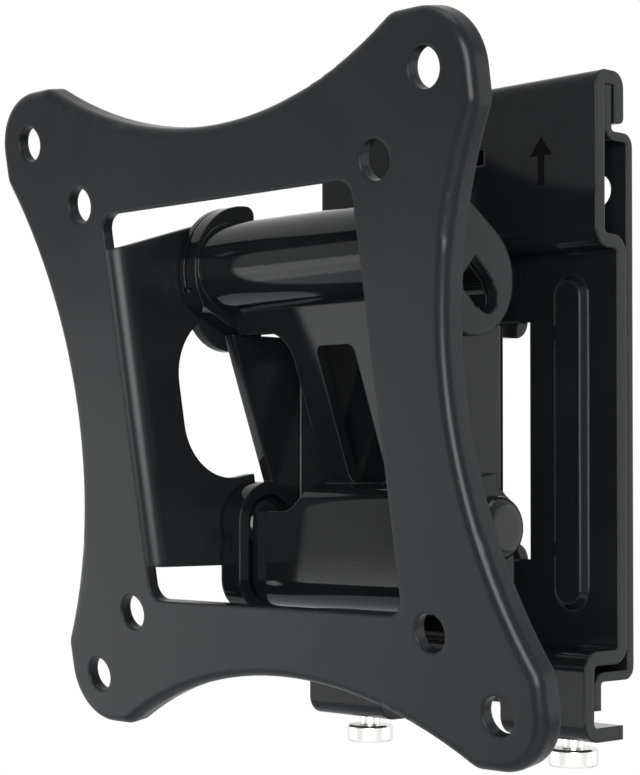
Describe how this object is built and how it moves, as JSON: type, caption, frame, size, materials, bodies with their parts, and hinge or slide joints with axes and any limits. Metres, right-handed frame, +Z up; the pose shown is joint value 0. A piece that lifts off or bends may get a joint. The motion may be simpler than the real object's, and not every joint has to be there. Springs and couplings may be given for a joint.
{
  "type": "tilting tv wall bracket",
  "caption": "Black steel wall bracket for a flat screen: a waisted plate tilts on riveted side ears, on a yoke and a hook-on mount that locks to a wall plate from below",
  "frame": {"origin": "middle of the four wall holes, on the back face of the wall plate", "axes": "+Y into the wall, -Y toward the room, +Z up, +X to the right for someone who faces the screen"},
  "size_m": [0.118, 0.0719, 0.1235],
  "materials": {
    "black_steel": "semi-gloss black coating",
    "black_rivet": "semi-gloss black coating",
    "bright_screw": "bright nickel plate"
  },
  "bodies": {
    "bracket": {"wall_plate": "black_steel", "mount_bracket": "black_steel", "arm_yoke": "black_steel", "front_brace": "black_steel", "pivot_rivet_left": "black_rivet", "pivot_rivet_right": "black_rivet"},
    "tilting_plate": {"screen_plate": "black_steel"},
    "lock_screw_left": {"lock_screw_left": "bright_screw"},
    "lock_screw_right": {"lock_screw_right": "bright_screw"}
  },
  "joints": [
    {"name": "tilt", "type": "hinge", "parent": "bracket", "child": "tilting_plate", "pos_m": [0, -0.03385, -0.0208], "axis": [1, 0, 0], "range_deg": [-9.55, 5.45]},
    {"name": "lock_left", "type": "slide", "parent": "bracket", "child": "lock_screw_left", "axis": [0, 0, 1], "range_m": [-0.006, 0]},
    {"name": "lock_right", "type": "slide", "parent": "bracket", "child": "lock_screw_right", "axis": [0, 0, 1], "range_m": [-0.006, 0]}
  ]
}
